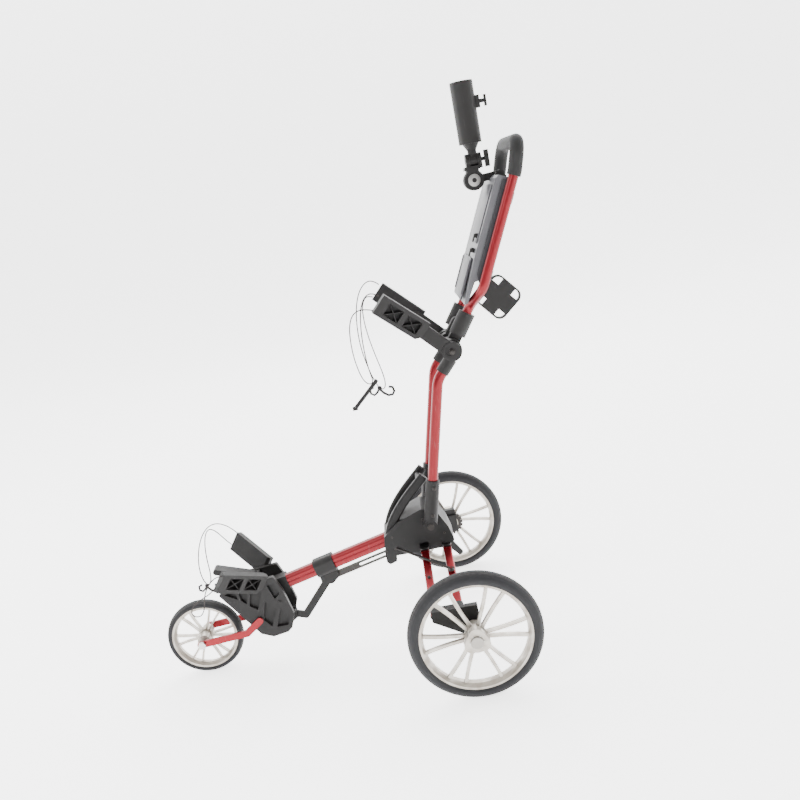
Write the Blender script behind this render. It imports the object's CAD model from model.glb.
"""Visual model of a three-wheel folding golf push cart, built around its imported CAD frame."""

import logging
import math
from dataclasses import dataclass, field
from enum import Enum
from typing import Iterable, Optional, Sequence, Union

import bmesh
import bpy
from mathutils import Matrix, Vector


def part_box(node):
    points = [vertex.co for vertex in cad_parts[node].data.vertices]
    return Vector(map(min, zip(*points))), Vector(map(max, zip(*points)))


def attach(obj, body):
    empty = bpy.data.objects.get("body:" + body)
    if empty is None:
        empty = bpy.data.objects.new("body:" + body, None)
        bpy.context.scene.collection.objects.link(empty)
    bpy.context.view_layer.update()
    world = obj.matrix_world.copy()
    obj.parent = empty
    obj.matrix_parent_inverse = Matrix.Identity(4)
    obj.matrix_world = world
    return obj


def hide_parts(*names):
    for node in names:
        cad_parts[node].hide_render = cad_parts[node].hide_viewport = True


LOG = logging.getLogger("push_cart")

Point = tuple[float, float, float]
Number = Union[float, int]

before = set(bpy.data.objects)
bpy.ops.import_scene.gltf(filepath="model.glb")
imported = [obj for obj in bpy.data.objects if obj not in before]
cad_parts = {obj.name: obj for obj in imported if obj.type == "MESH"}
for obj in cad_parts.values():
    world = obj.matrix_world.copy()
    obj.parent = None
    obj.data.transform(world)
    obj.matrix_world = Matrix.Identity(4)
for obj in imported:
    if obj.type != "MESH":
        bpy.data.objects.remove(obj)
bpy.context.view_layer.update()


class Body(str, Enum):
    """CAD bodies that pieces ride on."""

    FRAME = "frame"
    UPRIGHTS = "uprights"
    FRONT = "front"
    FRONT_WHEEL = "front_wheel"
    WHEEL_LEFT = "wheel_l"
    WHEEL_RIGHT = "wheel_r"
    CRADLE = "upper_cradle"
    HANDLE = "handle"
    SWIVEL = "umbrella_swivel"
    SOCKET = "umbrella_socket"
    LEG_LEFT = "front_leg_l"
    LEG_RIGHT = "front_leg_r"


# ------------------------------------------------------------------ shader maths
class Socket:
    """A shader socket that can be used in ordinary arithmetic."""

    def __init__(self, tree: bpy.types.NodeTree, socket: bpy.types.NodeSocket) -> None:
        self.tree = tree
        self.socket = socket

    def maths(self, operation: str, *values: "Operand") -> "Socket":
        """Apply a Math node.

        Args:
            operation: Name of the Math node's operation.
            values: Its inputs, in order.

        Returns:
            The result's socket.
        """
        node = self.tree.nodes.new("ShaderNodeMath")
        node.operation = operation
        for target, value in zip(node.inputs, values):
            feed(self.tree, target, value)
        return Socket(self.tree, node.outputs[0])

    def __add__(self, other: "Operand") -> "Socket":
        return self.maths("ADD", self, other)

    def __radd__(self, other: "Operand") -> "Socket":
        return self.maths("ADD", other, self)

    def __sub__(self, other: "Operand") -> "Socket":
        return self.maths("SUBTRACT", self, other)

    def __rsub__(self, other: "Operand") -> "Socket":
        return self.maths("SUBTRACT", other, self)

    def __mul__(self, other: "Operand") -> "Socket":
        return self.maths("MULTIPLY", self, other)

    def __rmul__(self, other: "Operand") -> "Socket":
        return self.maths("MULTIPLY", other, self)

    def __truediv__(self, other: "Operand") -> "Socket":
        return self.maths("DIVIDE", self, other)

    def __rtruediv__(self, other: "Operand") -> "Socket":
        return self.maths("DIVIDE", other, self)

    def __pow__(self, other: "Operand") -> "Socket":
        return self.maths("POWER", self, other)

    def sine(self) -> "Socket":
        """Sine of the value, in radians."""
        return self.maths("SINE", self)

    def clamp(self, low: float = 0.0, high: float = 1.0) -> "Socket":
        """Value held between low and high."""
        return self.maths("MINIMUM", self.maths("MAXIMUM", self, low), high)


Operand = Union[Socket, float, int, tuple]


def feed(tree: bpy.types.NodeTree, target: bpy.types.NodeSocket, value: Operand) -> None:
    """Link a socket or set a constant on an input.

    Args:
        tree: Node tree that owns the input.
        target: The input.
        value: A Socket to link, or the constant to set.
    """
    if isinstance(value, Socket):
        tree.links.new(value.socket, target)
    else:
        target.default_value = value


class Graph:
    """A material's node tree with one Principled surface."""

    def __init__(self, name: str) -> None:
        self.material = bpy.data.materials.new(name)
        self.material.use_nodes = True
        self.tree = self.material.node_tree
        self.surface = self.tree.nodes["Principled BSDF"]

    def node(self, kind: str, output: Union[str, int] = 0, options: Optional[dict] = None,
             **inputs: Operand) -> Socket:
        """Add any shader node.

        Args:
            kind: The node's type name.
            output: Output to return.
            options: Attributes to set on the node.
            inputs: Input values by name, with underscores for spaces.

        Returns:
            The chosen output.
        """
        made = self.tree.nodes.new(kind)
        for key, value in (options or {}).items():
            setattr(made, key, value)
        for key, value in inputs.items():
            feed(self.tree, made.inputs[key.replace("_", " ")], value)
        return Socket(self.tree, made.outputs[output])

    def place(self) -> Socket:
        """Object coordinates, which are the cart's own metres."""
        return self.node("ShaderNodeTexCoord", "Object")

    def noise(self, scale: float, detail: float = 3.0, stretch: Point = (1.0, 1.0, 1.0)) -> Socket:
        """Noise value over the object's coordinates.

        Args:
            scale: Features per metre.
            detail: Noise detail.
            stretch: Factor per axis, small along the direction the pattern runs.

        Returns:
            A value between 0 and 1.
        """
        spot = self.node("ShaderNodeMapping", 0, None, Vector=self.place(), Scale=stretch)
        return self.node("ShaderNodeTexNoise", 0, None, Vector=spot, Scale=scale, Detail=detail)

    def axis(self, index: int) -> Socket:
        """One object coordinate: 0 for X, 1 for Y, 2 for Z."""
        return self.node("ShaderNodeSeparateXYZ", index, None, Vector=self.place())

    def facing_up(self) -> Socket:
        """How far the surface faces up, from -1 to 1."""
        normal = self.node("ShaderNodeNewGeometry", "Normal")
        return self.node("ShaderNodeSeparateXYZ", 2, None, Vector=normal)

    def ramp(self, value: Socket, low: Operand, high: Operand) -> Socket:
        """Colour between two ends by a value from 0 to 1."""
        made = self.tree.nodes.new("ShaderNodeMix")
        made.data_type = "RGBA"
        feed(self.tree, made.inputs[0], value.clamp())
        feed(self.tree, made.inputs[6], low)
        feed(self.tree, made.inputs[7], high)
        return Socket(self.tree, made.outputs[2])

    def bump(self, height: Socket, strength: float, distance: float) -> Socket:
        """Bump normal from a height value."""
        return self.node("ShaderNodeBump", 0, None, Height=height, Strength=strength, Distance=distance)

    def finish(self, **inputs: Operand) -> bpy.types.Material:
        """Feed the Principled surface and return the material."""
        for key, value in inputs.items():
            feed(self.tree, self.surface.inputs[key.replace("_", " ")], value)
        return self.material


def tone(colour: Sequence[float], gain: float = 1.0) -> tuple[float, float, float, float]:
    """Linear colour with full alpha, scaled by gain."""
    return (colour[0] * gain, colour[1] * gain, colour[2] * gain, 1.0)


# ---------------------------------------------------------------------- finishes
@dataclass(frozen=True)
class Paint:
    """Tinted metallic lacquer over aluminium tube, scuffed along its length."""

    name: str
    colour: Point
    roughness: float = 0.30
    metallic: float = 0.75

    def build(self) -> bpy.types.Material:
        """Make the material."""
        graph = Graph(self.name)
        cloud = graph.noise(14.0, 4.0)
        flake = graph.noise(2600.0, 1.0)
        scuff = ((graph.noise(190.0, 6.0, (1.0, 1.0, 0.12)) - 0.62) * 9.0).clamp()
        base = graph.ramp(cloud, tone(self.colour, 0.82), tone(self.colour, 1.2))
        base = graph.ramp(scuff * 0.25, base, tone((0.30, 0.085, 0.08)))
        height = flake * 0.3 + graph.noise(420.0, 2.0) * 0.7
        return graph.finish(Base_Color=base, Metallic=self.metallic, Coat_Weight=0.16, Coat_Roughness=0.12,
                            Roughness=self.roughness + cloud * 0.1 + scuff * 0.2,
                            Normal=graph.bump(height, 0.12, 0.0003))


@dataclass(frozen=True)
class Plastic:
    """Moulded plastic with a fine spark-eroded grain and settled dust."""

    name: str
    colour: Point
    dust: Point = (0.16, 0.15, 0.14)
    roughness: float = 0.42
    dusting: float = 0.22

    def build(self) -> bpy.types.Material:
        """Make the material."""
        graph = Graph(self.name)
        mottle = graph.noise(38.0, 5.0)
        grain = graph.noise(1500.0, 2.0)
        settled = (graph.facing_up() * 0.8 + mottle - 0.75).clamp() * self.dusting
        scratch = ((graph.noise(160.0, 7.0, (1.0, 0.3, 0.15)) - 0.64) * 10.0).clamp()
        base = graph.ramp(mottle, tone(self.colour, 0.78), tone(self.colour, 1.3))
        base = graph.ramp(settled + scratch * 0.08, base, tone(self.dust))
        return graph.finish(Base_Color=base, Roughness=self.roughness + mottle * 0.14 + settled * 0.4,
                            Specular_IOR_Level=0.22,
                            Normal=graph.bump(grain + mottle * 0.4, 0.22, 0.0003))


@dataclass(frozen=True)
class Rubber:
    """Tyre rubber with moulded side rings and tread sipes round an axle along Y."""

    name: str
    centre: tuple[float, float]
    radius: float
    colour: Point = (0.014, 0.014, 0.0155)
    sipes: int = 96

    def build(self) -> bpy.types.Material:
        """Make the material."""
        graph = Graph(self.name)
        across = graph.axis(0) - self.centre[0]
        up = graph.axis(2) - self.centre[1]
        radial = (across * across + up * up) ** 0.5
        angle = across.maths("ARCTAN2", up, across)
        width = graph.axis(1)
        rings = (radial * (2 * math.pi / 0.0042)).sine()
        tread = ((radial - (self.radius - 0.0055)) / 0.003).clamp()
        wander = (width * 420.0).sine() * 0.6
        cuts = ((angle * float(self.sipes) + wander).sine() * 3.0).clamp()
        grooves = ((width * (2 * math.pi / 0.0075)).sine() * 4.0 + 2.6).clamp()
        height = rings * 0.25 * (1.0 - tread) + tread * (cuts * 0.5 + grooves)
        grime = graph.noise(55.0, 6.0)
        base = graph.ramp(grime, tone(self.colour, 0.7), tone(self.colour, 1.4))
        base = graph.ramp(tread * (grime - 0.35) * 0.6, base, tone((0.075, 0.068, 0.06)))
        fine = graph.noise(1200.0, 2.0) * 0.2
        return graph.finish(Base_Color=base, Roughness=0.62 + grime * 0.2, Specular_IOR_Level=0.3,
                            Normal=graph.bump(height + fine, 0.45, 0.0011))


@dataclass(frozen=True)
class Alloy:
    """Champagne silver wheel paint with dirt towards the rim and hub."""

    name: str
    centre: tuple[float, float]
    radius: float
    colour: Point = (0.46, 0.43, 0.385)

    def build(self) -> bpy.types.Material:
        """Make the material."""
        graph = Graph(self.name)
        across = graph.axis(0) - self.centre[0]
        up = graph.axis(2) - self.centre[1]
        radial = (across * across + up * up) ** 0.5
        patch = graph.noise(46.0, 6.0)
        edge = ((radial - self.radius * 0.86) / (self.radius * 0.14)).clamp()
        core = (1.0 - radial / (self.radius * 0.3)).clamp()
        dirt = ((patch - 0.42) * 2.4 + edge * 0.35 + core * 0.5).clamp() * 0.6
        base = graph.ramp(dirt, tone(self.colour), tone((0.17, 0.125, 0.08)))
        sparkle = graph.noise(2400.0, 1.0)
        return graph.finish(Base_Color=base, Metallic=0.8 - dirt * 0.4, Roughness=0.36 + dirt * 0.35,
                            Coat_Weight=0.2, Normal=graph.bump(sparkle + patch, 0.14, 0.0003))


@dataclass(frozen=True)
class Steel:
    """Brushed or plated steel."""

    name: str
    colour: Point = (0.56, 0.55, 0.53)
    roughness: float = 0.28

    def build(self) -> bpy.types.Material:
        """Make the material."""
        graph = Graph(self.name)
        lines = graph.noise(900.0, 3.0, (0.06, 1.0, 1.0))
        stain = graph.noise(70.0, 5.0)
        base = graph.ramp(stain, tone(self.colour, 0.75), tone(self.colour, 1.15))
        rough = self.roughness + lines * 0.16 + stain * 0.08
        return graph.finish(Base_Color=base, Metallic=1.0, Roughness=rough,
                            Normal=graph.bump(lines, 0.12, 0.0002))


@dataclass(frozen=True)
class Foam:
    """Closed-cell foam or soft rubber grip."""

    name: str
    colour: Point = (0.009, 0.0088, 0.0088)

    def build(self) -> bpy.types.Material:
        """Make the material."""
        graph = Graph(self.name)
        cells = graph.node("ShaderNodeTexVoronoi", 0, None, Vector=graph.place(), Scale=900.0)
        worn = graph.noise(34.0, 5.0)
        base = graph.ramp(worn, tone(self.colour, 0.75), tone(self.colour, 1.8))
        return graph.finish(Base_Color=base, Roughness=0.58 + worn * 0.2, Specular_IOR_Level=0.25,
                            Normal=graph.bump(cells + worn * 0.5, 0.35, 0.0004))


@dataclass(frozen=True)
class Braid:
    """Woven sleeve of an elastic cord."""

    name: str
    colour: Point = (0.013, 0.008, 0.0065)

    def build(self) -> bpy.types.Material:
        """Make the material."""
        graph = Graph(self.name)
        one = ((graph.axis(0) + graph.axis(2)) * 5200.0).sine()
        two = ((graph.axis(0) - graph.axis(2) + graph.axis(1)) * 5200.0).sine()
        weave = one * two
        fleck = graph.noise(1800.0, 1.0)
        base = graph.ramp(fleck * 0.6 + weave * 0.3, tone(self.colour, 0.6), tone(self.colour, 2.2))
        return graph.finish(Base_Color=base, Roughness=0.78 + fleck * 0.12,
                            Normal=graph.bump(weave, 0.5, 0.0003))


@dataclass(frozen=True)
class Backdrop:
    """Matt studio paper."""

    name: str
    level: float = 0.95
    glow: float = 2.6

    def build(self) -> bpy.types.Material:
        """Make the material."""
        graph = Graph(self.name)
        tooth = graph.noise(240.0, 2.0)
        base = graph.ramp(tooth, tone((1.0, 1.0, 1.0), self.level * 0.99), tone((1.0, 1.0, 1.0), self.level))
        return graph.finish(Base_Color=base, Roughness=0.9, Emission_Color=(1.0, 1.0, 1.0, 1.0),
                            Emission_Strength=self.glow)


Finish = Union[Paint, Plastic, Rubber, Alloy, Steel, Foam, Braid, Backdrop]


# ------------------------------------------------------------------ mesh helpers
def keep(name: str, mesh: bmesh.types.BMesh, material: bpy.types.Material, body: Body,
         smooth: bool = True) -> bpy.types.Object:
    """Turn a bmesh into a finished piece.

    Args:
        name: Object name.
        mesh: Geometry in the cart's own metres; freed here.
        material: Its finish.
        body: CAD body that it moves with.
        smooth: Whether curved faces are shaded smooth.

    Returns:
        The object, riding on the body.
    """
    name = name.replace(" ", "_")
    bmesh.ops.recalc_face_normals(mesh, faces=mesh.faces)
    data = bpy.data.meshes.new(name)
    mesh.to_mesh(data)
    mesh.free()
    data.materials.append(material)
    made = bpy.data.objects.new(name, data)
    bpy.context.scene.collection.objects.link(made)
    if smooth:
        data.shade_smooth()
        data.set_sharp_from_angle(angle=math.radians(32))
    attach(made, body.value)
    return made


def turned(origin: Point, along: Point) -> Matrix:
    """Matrix that takes local Z to a direction and the origin to a point."""
    return Matrix.Translation(Vector(origin)) @ Vector(along).to_track_quat("Z", "Y").to_matrix().to_4x4()


def revolve(mesh: bmesh.types.BMesh, profile: Sequence[tuple[float, float]], origin: Point, along: Point,
            steps: int = 40) -> None:
    """Add a body of revolution.

    Args:
        mesh: Mesh to add to.
        profile: (radius, height) pairs from the bottom on the axis to the top on the axis.
        origin: Where height is zero.
        along: Axis direction.
        steps: Segments round the axis.
    """
    place = turned(origin, along)
    rings = []
    for radius, height in profile:
        if radius <= 0.0:
            rings.append([mesh.verts.new(place @ Vector((0, 0, height)))])
            continue
        ring = []
        for index in range(steps):
            angle = 2 * math.pi * index / steps
            spot = Vector((radius * math.cos(angle), radius * math.sin(angle), height))
            ring.append(mesh.verts.new(place @ spot))
        rings.append(ring)
    for low, high in zip(rings, rings[1:]):
        for index in range(steps):
            after = (index + 1) % steps
            corners = [low[index % len(low)], low[after % len(low)],
                       high[after % len(high)], high[index % len(high)]]
            unique = list(dict.fromkeys(corners))
            if len(unique) > 2:
                mesh.faces.new(unique)


def block(mesh: bmesh.types.BMesh, matrix: Matrix, size: Point, bevel: float = 0.0) -> None:
    """Add a box with bevelled edges.

    Args:
        mesh: Mesh to add to.
        matrix: Place and turn of its centre.
        size: Full size along its own axes.
        bevel: Edge radius.
    """
    made = bmesh.ops.create_cube(mesh, size=1.0, matrix=matrix @ Matrix.Diagonal((*size, 1.0)))
    if bevel > 0:
        edges = {edge for vert in made["verts"] for edge in vert.link_edges}
        bmesh.ops.bevel(mesh, geom=list(edges), offset=bevel, segments=2, affect="EDGES", profile=0.5)


def tube(mesh: bmesh.types.BMesh, points: Sequence[Point], radius: float, steps: int = 10) -> None:
    """Add a round bar through points, closed at both ends.

    Args:
        mesh: Mesh to add to.
        points: Centre line.
        radius: Bar radius.
        steps: Segments round it.
    """
    line = [Vector(point) for point in points]
    normal = Vector((0, 1, 0))
    rings = []
    for index, point in enumerate(line):
        ahead = line[min(index + 1, len(line) - 1)]
        behind = line[max(index - 1, 0)]
        along = (ahead - behind).normalized()
        side = along.cross(normal)
        if side.length < 0.05:
            side = along.cross(Vector((1, 0, 0)))
        side.normalize()
        normal = side.cross(along).normalized()
        ring = []
        for turn in range(steps):
            angle = 2 * math.pi * turn / steps
            ring.append(mesh.verts.new(point + radius * (math.cos(angle) * side + math.sin(angle) * normal)))
        rings.append(ring)
    for low, high in zip(rings, rings[1:]):
        for turn in range(steps):
            after = (turn + 1) % steps
            mesh.faces.new([low[turn], low[after], high[after], high[turn]])
    mesh.faces.new(list(reversed(rings[0])))
    mesh.faces.new(rings[-1])


def middle(node: str) -> Vector:
    """Centre of a CAD node's box."""
    low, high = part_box(node)
    return (Vector(low) + Vector(high)) / 2


def half_size(node: str) -> Vector:
    """Half the size of a CAD node's box."""
    low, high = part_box(node)
    return (Vector(high) - Vector(low)) / 2


# ----------------------------------------------------------------- node repeats
class RepeatRing:
    """Geometry Nodes group that sets studs evenly on a circle."""

    def __init__(self) -> None:
        self.group = bpy.data.node_groups.new("ring of studs", "GeometryNodeTree")
        self.sockets: dict[str, str] = {}
        self._interface()
        self._nodes()

    def _interface(self) -> None:
        entries = (("Count", "Int"), ("Radius", "Float"), ("Stud Radius", "Float"), ("Stud Height", "Float"),
                   ("Seed", "Int"), ("Material", "Material"))
        for name, kind in entries:
            made = self.group.interface.new_socket(name, in_out="INPUT", socket_type=f"NodeSocket{kind}")
            self.sockets[name] = made.identifier
        self.group.interface.new_socket("Geometry", in_out="OUTPUT", socket_type="NodeSocketGeometry")

    def _nodes(self) -> None:
        nodes, links = self.group.nodes, self.group.links
        source = nodes.new("NodeGroupInput")
        target = nodes.new("NodeGroupOutput")
        circle = nodes.new("GeometryNodeMeshCircle")
        stud = nodes.new("GeometryNodeMeshCylinder")
        stud.inputs["Vertices"].default_value = 12
        spread = nodes.new("GeometryNodeInstanceOnPoints")
        turn = nodes.new("FunctionNodeRandomValue")
        turn.data_type = "FLOAT_VECTOR"
        turn.inputs[1].default_value = (0.0, 0.0, math.pi)
        real = nodes.new("GeometryNodeRealizeInstances")
        paint = nodes.new("GeometryNodeSetMaterial")
        links.new(source.outputs["Count"], circle.inputs["Vertices"])
        links.new(source.outputs["Radius"], circle.inputs["Radius"])
        links.new(source.outputs["Stud Radius"], stud.inputs["Radius"])
        links.new(source.outputs["Stud Height"], stud.inputs["Depth"])
        links.new(source.outputs["Seed"], turn.inputs["Seed"])
        links.new(turn.outputs[0], spread.inputs["Rotation"])
        links.new(circle.outputs[0], spread.inputs["Points"])
        links.new(stud.outputs[0], spread.inputs["Instance"])
        links.new(spread.outputs[0], real.inputs[0])
        links.new(real.outputs[0], paint.inputs["Geometry"])
        links.new(source.outputs["Material"], paint.inputs["Material"])
        links.new(paint.outputs[0], target.inputs[0])

    def make(self, name: str, matrix: Matrix, material: bpy.types.Material, body: Body,
             **values: Number) -> bpy.types.Object:
        """Run the group and keep its mesh.

        Args:
            name: Object name.
            matrix: Place of the circle, whose axis is local Z.
            material: Finish of the studs.
            body: CAD body to ride on.
            values: Group inputs by name, with underscores for spaces.

        Returns:
            The finished piece.
        """
        name = name.replace(" ", "_")
        made = bpy.data.objects.new(name, bpy.data.meshes.new(name))
        bpy.context.scene.collection.objects.link(made)
        modifier = made.modifiers.new("studs", "NODES")
        modifier.node_group = self.group
        modifier[self.sockets["Material"]] = material
        for key, value in values.items():
            modifier[self.sockets[key.replace("_", " ")]] = value
        bpy.context.view_layer.update()
        shape = bpy.data.meshes.new_from_object(made.evaluated_get(bpy.context.evaluated_depsgraph_get()))
        made.modifiers.clear()
        shape.transform(matrix)
        made.data = shape
        if not shape.materials:
            shape.materials.append(material)
        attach(made, body.value)
        return made


# ----------------------------------------------------------------- the finishes
@dataclass(frozen=True)
class Palette:
    """All finishes of the cart, made once."""

    made: dict[str, bpy.types.Material] = field(default_factory=dict)

    def get(self, finish: "Finish") -> bpy.types.Material:
        """Material of a finish, built the first time it is asked for."""
        if finish.name not in self.made:
            self.made[finish.name] = finish.build()
        return self.made[finish.name]


RED = Paint("red lacquer", (0.155, 0.004, 0.008))
LEG_RED = Paint("leg red lacquer", (0.20, 0.006, 0.011), 0.26)
BLACK = Plastic("black moulding", (0.0095, 0.0088, 0.0086), (0.09, 0.085, 0.08))
SHELL_BLACK = Plastic("black housing moulding", (0.007, 0.0066, 0.0066), (0.08, 0.076, 0.072), 0.34)
GREY = Plastic("grey console moulding", (0.06, 0.06, 0.066), (0.16, 0.16, 0.16), 0.34)
BAND = Plastic("console side band", (0.03, 0.03, 0.033), (0.1, 0.1, 0.1), 0.36)
PALE = Plastic("pale console face", (0.085, 0.085, 0.092), (0.24, 0.24, 0.24), 0.3)
STEEL = Steel("plated steel")
OXIDE = Steel("black oxide steel", (0.045, 0.042, 0.04), 0.36)
WASHER = Steel("umbrella washer", (0.34, 0.33, 0.32), 0.3)
GRIP = Foam("grip foam")
ELASTIC = Braid("elastic braid")
BUTTON = Steel("hub cap metal", (0.36, 0.34, 0.31), 0.42)

NODE_FINISH = {
    RED: ("main_tube", "upright_left", "upright_right", "handle_tube"),
    LEG_RED: ("fork_left", "fork_right", "front_leg_left", "front_leg_right", "rear_leg_left",
              "rear_leg_right"),
    BLACK: ("bag_rest", "front_bracket", "lower_arm_left", "lower_arm_right", "upper_arm_left",
            "upper_arm_right", "handle_collar_left", "handle_collar_right", "upright_fittings_left",
            "upright_fittings_right", "slider_collar", "fold_lever", "carrier_left", "carrier_right",
            "brake_pedal", "tube_nose", "umbrella_arm", "umbrella_base", "umbrella_tube",
            "tilt_knob", "clamp_knob", "cup_holder", "cord_toggle", "console_lugs"),
    SHELL_BLACK: ("chassis", "housing_shell", "lock_bow"),
    GREY: ("console_lid",),
    BAND: ("console_bands",),
    PALE: ("console_shell",),
    STEEL: ("front_axle_bolt",),
    OXIDE: ("head_shaft", "chassis_pins", "slotted_bar", "link_rod_left", "link_rod_right", "brake_ring"),
    GRIP: ("handle_grip",),
    BUTTON: ("hub_button_left", "hub_button_right"),
}


def paint_node(node: str, material: bpy.types.Material) -> None:
    """Give a CAD node's object a finish."""
    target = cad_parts[node]
    if not target.material_slots:
        target.data.materials.append(material)
    for entry in target.material_slots:
        entry.material = material


# ------------------------------------------------------------------------ studio
@dataclass(frozen=True)
class Studio:
    """Camera, floor and soft light.

    The floor is one sheet of paper that curves up into a wall behind the cart.
    """

    palette: Palette
    camera_place: Point = (0.2025, -1.932, 1.089)
    right: Point = (0.9823, -0.0271, -0.1852)
    up: Point = (0.1861, 0.2446, 0.9516)
    forward: Point = (-0.0195, 0.9693, -0.2453)
    lens: float = 38.1
    sensor: float = 36.0
    paper_reach: float = 150.0
    curve_start: float = 4.0
    curve_radius: float = 5.0
    curve_steps: int = 24
    wall_top: float = 60.0
    aim: Point = (0.0, 0.0, 0.6)
    sky_strength: float = 0.5

    def build(self) -> None:
        """Make the camera, floor, lights and world."""
        data = bpy.data.cameras.new("camera")
        data.lens = self.lens
        data.sensor_width = self.sensor
        camera = bpy.data.objects.new("camera", data)
        bpy.context.scene.collection.objects.link(camera)
        axes = Matrix((self.right, self.up, [-value for value in self.forward])).transposed()
        camera.matrix_world = Matrix.Translation(Vector(self.camera_place)) @ axes.to_4x4()
        bpy.context.scene.camera = camera
        self._floor()
        self._lights()

    def _floor(self) -> None:
        mesh = bmesh.new()
        profile = [(-self.paper_reach, 0.0), (self.curve_start, 0.0)]
        for step in range(1, self.curve_steps + 1):
            angle = math.radians(90 * step / self.curve_steps)
            profile.append((self.curve_start + self.curve_radius * math.sin(angle),
                            self.curve_radius - self.curve_radius * math.cos(angle)))
        profile.append((self.curve_start + self.curve_radius, self.wall_top))
        ends = [[mesh.verts.new((side * self.paper_reach, y, z)) for y, z in profile] for side in (-1, 1)]
        for index in range(len(profile) - 1):
            mesh.faces.new([ends[0][index], ends[1][index], ends[1][index + 1], ends[0][index + 1]])
        for face in mesh.faces:
            face.smooth = True
        data = bpy.data.meshes.new("floor")
        mesh.to_mesh(data)
        mesh.free()
        data.materials.append(self.palette.get(Backdrop("studio paper")))
        floor = bpy.data.objects.new("floor", data)
        bpy.context.scene.collection.objects.link(floor)

    def _lights(self) -> None:
        setups = (("key", (-1.6, -2.2, 3.0), 2.2, 90.0), ("fill", (2.6, -1.8, 2.2), 2.0, 30.0),
                  ("rim", (0.4, 2.8, 2.6), 2.4, 60.0), ("left strip", (-2.8, 0.6, 1.2), 1.2, 25.0))
        for name, place, size, power in setups:
            data = bpy.data.lights.new(name, "AREA")
            data.energy = power
            data.size = size
            lamp = bpy.data.objects.new(name, data)
            bpy.context.scene.collection.objects.link(lamp)
            lamp.location = place
            lamp.rotation_euler = (Vector(self.aim) - Vector(place)).to_track_quat("-Z", "Y").to_euler()
        world = bpy.data.worlds.new("studio")
        world.use_nodes = True
        background = world.node_tree.nodes["Background"]
        background.inputs["Color"].default_value = (1.0, 1.0, 1.0, 1.0)
        background.inputs["Strength"].default_value = self.sky_strength
        bpy.context.scene.world = world


# ------------------------------------------------------------------------ straps
REAR_AXLE_X = 232.5
CORD_DIAMETER = 0.0025


def from_axle(points: Iterable[Point]) -> list[Point]:
    """Strap route given behind the rear axle, in millimetres, as metres from the origin."""
    return [((REAR_AXLE_X + x) / 1000, y / 1000, z / 1000) for x, y, z in points]


@dataclass(frozen=True)
class Strap:
    """One loop of elastic cord held in an arm tip."""

    node: str
    body: Body
    route: tuple[Point, ...]
    length: float
    carries: tuple[str, ...] = ()

    def build(self, palette: Palette, extras: Sequence[bpy.types.Object] = ()) -> bpy.types.Object:
        """Make the cord as a curve.

        Args:
            palette: Finishes.
            extras: Separate pieces that are on the cord.

        Returns:
            The curve object.
        """
        data = bpy.data.curves.new(f"{self.node}_elastic", "CURVE")
        data.dimensions = "3D"
        spline = data.splines.new("NURBS")
        points = from_axle(self.route)
        spline.points.add(len(points) - 1)
        for target, point in zip(spline.points, points):
            target.co = (*point, 1.0)
        spline.order_u = 3
        spline.use_endpoint_u = True
        spline.resolution_u = 8
        data.bevel_depth = CORD_DIAMETER / 2
        data.bevel_resolution = 3
        data.use_fill_caps = True
        data.materials.append(palette.get(ELASTIC))
        made = bpy.data.objects.new(data.name, data)
        bpy.context.scene.collection.objects.link(made)
        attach(made, self.body.value)
        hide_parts(self.node)
        return made


UPPER_LEFT = Strap("upper_cord_left", Body.CRADLE, (
    (-68, -112, 863), (-82, -113, 874), (-100, -112, 868), (-113, -106, 844), (-121, -94, 805),
    (-125, -74, 762), (-126, -48, 720), (-125, -24, 686), (-122, -7, 662), (-126, 4, 650),
    (-136, 3, 652), (-144, -8, 666), (-149, -26, 692), (-152, -50, 728), (-151, -75, 768),
    (-146, -96, 806), (-135, -108, 832), (-118, -113, 842), (-100, -113, 840), (-88, -112, 836)),
    0.562, ("cord_toggle",))
UPPER_RIGHT = Strap("upper_cord_right", Body.CRADLE, (
    (-68, 112, 863), (-81, 115, 876), (-101, 115, 874), (-120, 109, 854), (-133, 98, 818),
    (-139, 80, 774), (-138, 56, 728), (-130, 32, 688), (-120, 12, 655), (-110, 2, 636),
    (-101, 4, 632), (-95, 14, 640), (-97, 30, 664), (-106, 50, 700), (-115, 72, 742),
    (-120, 91, 784), (-118, 105, 820), (-108, 112, 838), (-97, 113, 840), (-88, 112, 836)), 0.582)
LOWER_RIGHT = Strap("lower_cord_right", Body.FRONT, (
    (-548, 122, 297), (-560, 124, 312), (-576, 118, 330), (-592, 100, 346), (-606, 72, 352),
    (-616, 38, 346), (-622, 2, 328), (-622, -32, 304), (-615, -60, 284), (-604, -80, 270),
    (-594, -88, 266), (-588, -82, 272), (-590, -64, 288), (-598, -38, 312), (-604, -4, 336),
    (-606, 34, 350), (-604, 70, 346), (-598, 98, 326), (-590, 114, 302), (-580, 120, 282),
    (-571, 122, 271)), 0.583)
LOWER_LEFT = Strap("lower_cord_left", Body.FRONT, (
    (-571, -122, 271), (-582, -124, 262), (-598, -124, 254), (-618, -119, 244), (-638, -110, 228),
    (-648, -101, 208), (-643, -94, 194), (-630, -92, 192), (-619, -96, 206), (-611, -104, 226),
    (-604, -113, 248), (-594, -120, 268), (-578, -124, 288), (-562, -124, 298), (-548, -122, 297)), 0.280)


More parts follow.
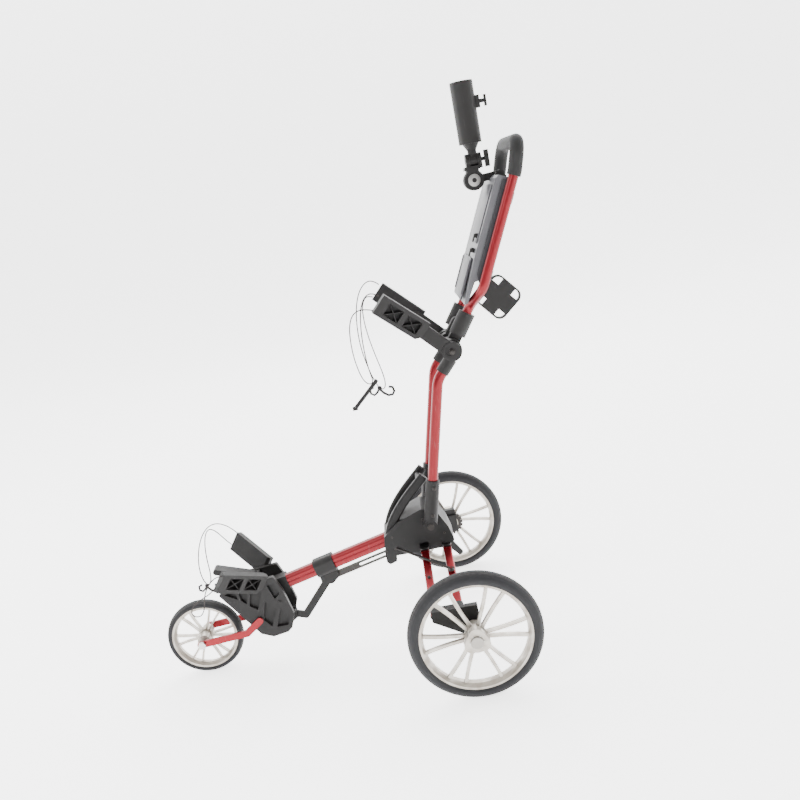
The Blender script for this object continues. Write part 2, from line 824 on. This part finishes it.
@dataclass(frozen=True)
class Straps:
    """All four straps with their hooks and knots."""

    palette: Palette

    def build(self) -> None:
        """Make the hooks first, then the cords that carry them."""
        hook = self._hook("upper strap hook", from_axle([(-108, 2, 634)])[0], 1.25, Body.CRADLE)
        lower = self._hook("lower strap hook", from_axle([(-597, -87, 262)])[0], 1.1, Body.FRONT)
        UPPER_LEFT.build(self.palette)
        UPPER_RIGHT.build(self.palette, [hook])
        LOWER_RIGHT.build(self.palette, [lower])
        LOWER_LEFT.build(self.palette)

    def _hook(self, name: str, place: Point, scale: float, body: Body) -> bpy.types.Object:
        mesh = bmesh.new()
        x, y, z = place
        size = 0.001 * scale
        clip = ((-4, 6), (-2, 0), (4, -8), (12, -14), (20, -14), (24, -8), (22, 0), (15, 2))
        tail = ((-2, 2), (-8, -6), (-14, -10), (-20, -6), (-20, 2), (-13, 5))
        knot = ((0, -3), (3.6, -2), (4.4, 1), (3, 4), (0, 5))
        tube(mesh, [(x + size * a, y, z + size * b) for a, b in clip], 2.4 * size, 10)
        tube(mesh, [(x + size * a, y + 3 * size, z + size * b) for a, b in tail], 2.2 * size, 10)
        revolve(mesh, [(size * radius, size * height) for radius, height in knot],
                (x - 2 * size, y, z + 2 * size), (0, 0, 1), 16)
        return keep(name, mesh, self.palette.get(BLACK), body)


# ------------------------------------------------------------------------ wheels
@dataclass(frozen=True)
class WheelTrim:
    """Tyre and rim finishes and the hub studs of one wheel."""

    tyre: str
    rim: str
    body: Body
    lip: float

    def dress(self, palette: Palette, ring: RepeatRing) -> None:
        """Finish the tyre and rim, and add the trim.

        Args:
            palette: Finishes.
            ring: Repeat used for the studs.
        """
        centre = middle(self.tyre)
        size = half_size(self.tyre)
        spot = (centre.x, centre.z)
        rubber = palette.get(Rubber(f"{self.tyre} rubber", spot, size.x, sipes=96 if size.x > 0.12 else 64))
        alloy = palette.get(Alloy(f"{self.rim} paint", spot, half_size(self.rim).x))
        paint_node(self.tyre, rubber)
        paint_node(self.rim, alloy)
        low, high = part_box(self.rim)
        for side in (-1, 1):
            face = (low[1] if side < 0 else high[1])
            place = turned((centre.x, face, centre.z), (0, side, 0))
            label = "left" if side < 0 else "right"
            ring.make(f"{self.rim} studs {label}", place @ Matrix.Translation((0, 0, 0.0002)),
                      palette.get(STEEL), self.body, Count=6, Radius=self.lip, Stud_Radius=0.0016,
                      Stud_Height=0.0016, Seed=3)


@dataclass(frozen=True)
class Wheels:
    """All three wheels."""

    palette: Palette
    ring: RepeatRing

    def dress(self) -> None:
        """Dress each wheel."""
        for wheel in (WheelTrim("front_tyre", "front_rim", Body.FRONT_WHEEL, 0.011),
                      WheelTrim("rear_tyre_left", "rear_rim_left", Body.WHEEL_LEFT, 0.0145),
                      WheelTrim("rear_tyre_right", "rear_rim_right", Body.WHEEL_RIGHT, 0.0145)):
            wheel.dress(self.palette, self.ring)


# ----------------------------------------------------------------------- console
@dataclass(frozen=True)
class Console:
    """Trim of the console: clips, pocket and handle lugs."""

    palette: Palette
    lean: tuple[float, float] = (0.4153, 0.9097)
    origin: tuple[float, float] = (0.4075, 0.880)

    def spot(self, out: float, up: float, y: float) -> Point:
        """Point given out of the console's front face and up along it, in metres."""
        return (self.origin[0] - out * self.lean[1] + up * self.lean[0], y,
                self.origin[1] + out * self.lean[0] + up * self.lean[1])

    def plane(self, out: float, up: float, y: float) -> Matrix:
        """Matrix whose X runs out of the front face and whose Z runs up along it."""
        run, rise = self.lean
        axes = Matrix(((-rise, 0, run), (0, -1, 0), (run, 0, rise))).transposed()
        return Matrix.Translation(Vector(self.spot(out, up, y))) @ axes.to_4x4()

    def build(self) -> None:
        """Make the trim."""
        black = self.palette.get(BLACK)
        mesh = bmesh.new()
        for up in (0.024, 0.056):
            block(mesh, self.plane(0.0375, up, -0.062), (0.009, 0.016, 0.010), 0.0015)
            block(mesh, self.plane(0.0425, up - 0.006, -0.062), (0.003, 0.014, 0.018), 0.001)
        keep("console ball clips", mesh, black, Body.HANDLE)
        mesh = bmesh.new()
        block(mesh, self.plane(0.0362, -0.040, 0.0), (0.004, 0.150, 0.094), 0.0018)
        for side in (-1, 1):
            block(mesh, self.plane(0.0382, -0.036, side * 0.070), (0.004, 0.006, 0.078), 0.0015)
        keep("console lower pocket", mesh, self.palette.get(GREY), Body.HANDLE)
        mesh = bmesh.new()
        block(mesh, self.plane(0.0352, 0.104, 0.0), (0.0024, 0.160, 0.128), 0.001)
        keep("console front panel", mesh, self.palette.get(GREY), Body.HANDLE)
        mesh = bmesh.new()
        for up in (-0.018, 0.150):
            for side in (-1, 1):
                block(mesh, self.plane(-0.006, up, side * 0.099), (0.014, 0.010, 0.026), 0.0025)
        keep("console handle lugs", mesh, black, Body.HANDLE)


# ------------------------------------------------------------------- cradle arms
@dataclass(frozen=True)
class ArmRibs:
    """Crossed stiffening ribs inside the windows of one right-hand cradle arm and its twin."""

    node: str
    body: Body
    root: Point
    tip: Point
    up: Point
    height: float
    thickness: float

    def build(self, material: bpy.types.Material) -> None:
        """Make the ribs of both arms.

        Args:
            material: Finish of the mouldings.
        """
        for side, label in ((1, "right"), (-1, "left")):
            mesh = bmesh.new()
            frame_matrix, length = self._axes(side)
            floor = 0.004 - self.thickness / 2
            depth = self.thickness - 0.0055
            wide, high = length * 0.3, self.height * 0.62
            turn = math.atan2(high, wide)
            for share in (-0.22, 0.18):
                for lean in (-1, 1):
                    place = (frame_matrix @ Matrix.Translation((length * share, 0, floor + depth / 2))
                             @ Matrix.Rotation(lean * turn, 4, "Z"))
                    block(mesh, place, (math.hypot(wide, high) * 0.97, 0.0018, depth), 0.0004)
            keep(f"{self.node}_{label} ribs", mesh, material, self.body)

    def _axes(self, side: int) -> tuple[Matrix, float]:
        flip = Vector((1, side, 1))
        root = Vector(self.root)
        along = Vector(self.tip) - root
        normal = along.cross(Vector(self.up)).normalized() * flip
        centre = (root + along / 2) * flip
        across = (along * flip).normalized()
        axes = Matrix((across, normal.cross(across), normal)).transposed()
        return Matrix.Translation(centre) @ axes.to_4x4(), along.length


ARM_RIBS = (
    ArmRibs("lower_arm", Body.FRONT, (-0.2455, 0.046, 0.226), (-0.3275, 0.120, 0.282), (0.57, 0.0, 0.82),
            0.050, 0.016),
    ArmRibs("upper_arm", Body.CRADLE, (0.2465, 0.089, 0.764), (0.1585, 0.110, 0.848), (0.68, 0.0, 0.73),
            0.047, 0.018),
)


# ---------------------------------------------------------------- small hardware
@dataclass(frozen=True)
class Hardware:
    """Rivets, washers and screws."""

    palette: Palette
    ring: RepeatRing

    def build(self) -> None:
        """Make them."""
        self._rivets()
        self._washers()
        self._housing_screws()

    def _dome(self, mesh: bmesh.types.BMesh, place: Point, along: Point, radius: float,
              height: float) -> None:
        revolve(mesh, ((0, -height), (radius, -height), (radius, 0), (radius * 0.86, height * 0.6),
                       (radius * 0.5, height * 0.92), (0, height)), place, along, 20)

    def _rivets(self) -> None:
        for body, side in ((Body.LEG_LEFT, -1), (Body.LEG_RIGHT, 1)):
            mesh = bmesh.new()
            node = "front_leg_left" if side < 0 else "front_leg_right"
            centre = middle(node)
            self._dome(mesh, (centre.x, centre.y, centre.z + 0.0075), (0, side * 0.2, 1), 0.0042, 0.002)
            keep(f"{node} rivet", mesh, self.palette.get(OXIDE), body)
        mesh = bmesh.new()
        for side in (-1, 1):
            for height in (0.395, 0.33):
                place = (0.2035 + (height - 0.395) * 0.22, side * 0.0788, height)
                self._dome(mesh, place, (0, side, 0), 0.0045, 0.0016)
        keep("upright foot rivets", mesh, self.palette.get(OXIDE), Body.UPRIGHTS)

    def _washers(self) -> None:
        mesh = bmesh.new()
        swing = (0.4165, 1.062)
        washer = ((0, -0.0005), (0.0135, -0.0005), (0.0135, 0.0012), (0.0105, 0.0018), (0.0, 0.0018))
        for side in (-1, 1):
            revolve(mesh, washer, (swing[0], side * 0.0166, swing[1]), (0, side, 0), 28)
        keep("umbrella pivot washers", mesh, self.palette.get(WASHER), Body.SWIVEL)
        mesh = bmesh.new()
        head = middle("head_shaft")
        for side in (-1, 1):
            end = side * (half_size("head_shaft").y + 0.0012)
            self._dome(mesh, (head.x, end, head.z), (0, side, 0), 0.006, 0.002)
        keep("head bolt heads", mesh, self.palette.get(OXIDE), Body.UPRIGHTS)

    def _housing_screws(self) -> None:
        mesh = bmesh.new()
        screw = ((0, -0.001), (0.0032, -0.001), (0.0032, 0.0006), (0.0016, 0.0006), (0.0016, -0.0004),
                 (0, -0.0004))
        for x, z in ((0.0825, 0.280), (0.1625, 0.312), (0.2085, 0.268)):
            for side in (-1, 1):
                revolve(mesh, screw, (x, side * 0.0443, z), (0, side, 0), 16)
        keep("housing screws", mesh, self.palette.get(OXIDE), Body.FRAME)


def main() -> None:
    """Build the cart's looks in order."""
    logging.basicConfig(level=logging.INFO, format="%(message)s")
    palette = Palette()
    ring = RepeatRing()
    Studio(palette).build()
    LOG.info("studio done")
    Straps(palette).build()
    LOG.info("straps done")
    for finish, nodes in NODE_FINISH.items():
        for node in nodes:
            paint_node(node, palette.get(finish))
    Wheels(palette, ring).dress()
    Console(palette).build()
    for ribs in ARM_RIBS:
        ribs.build(palette.get(BLACK))
    Hardware(palette, ring).build()


if __name__ == "__main__":
    main()
